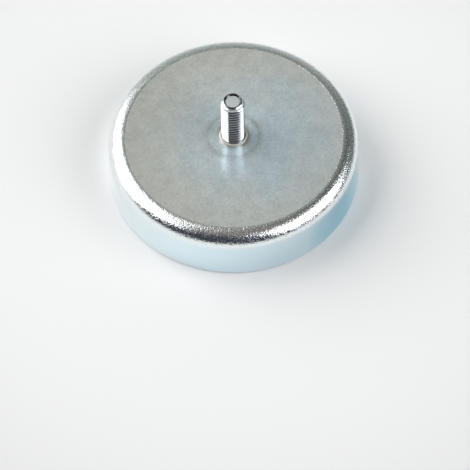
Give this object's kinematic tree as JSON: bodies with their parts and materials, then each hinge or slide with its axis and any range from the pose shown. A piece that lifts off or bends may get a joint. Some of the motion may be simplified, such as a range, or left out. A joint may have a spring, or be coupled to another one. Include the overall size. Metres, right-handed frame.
{
  "type": "pot magnet",
  "caption": "Round steel pot with a ferrite disc in its mouth, a nearly straight wall and rounded back, and a threaded stud rising from the centre of the back.",
  "frame": {"origin": "centre of the holding face, in the plane of the steel mouth", "axes": "+Z is the pot's axis and points along the stud; X and Y are any two directions across, since the magnet is round"},
  "size_m": [0.063, 0.063, 0.0288],
  "materials": {
    "zinc_plated_steel": "satin zinc plating, clear bluish passivate, on drawn sheet",
    "bright_zinc_stud": "bright zinc plating on a rolled thread",
    "sintered_ferrite": "ground ferrite, matt charcoal grey",
    "cured_resin": "cast resin with a dull skin, near black"
  },
  "bodies": {
    "root": {"steel_pot": "zinc_plated_steel", "threaded_stud": "bright_zinc_stud", "ferrite_disc": "sintered_ferrite", "resin_ring": "cured_resin"}
  },
  "joints": []
}
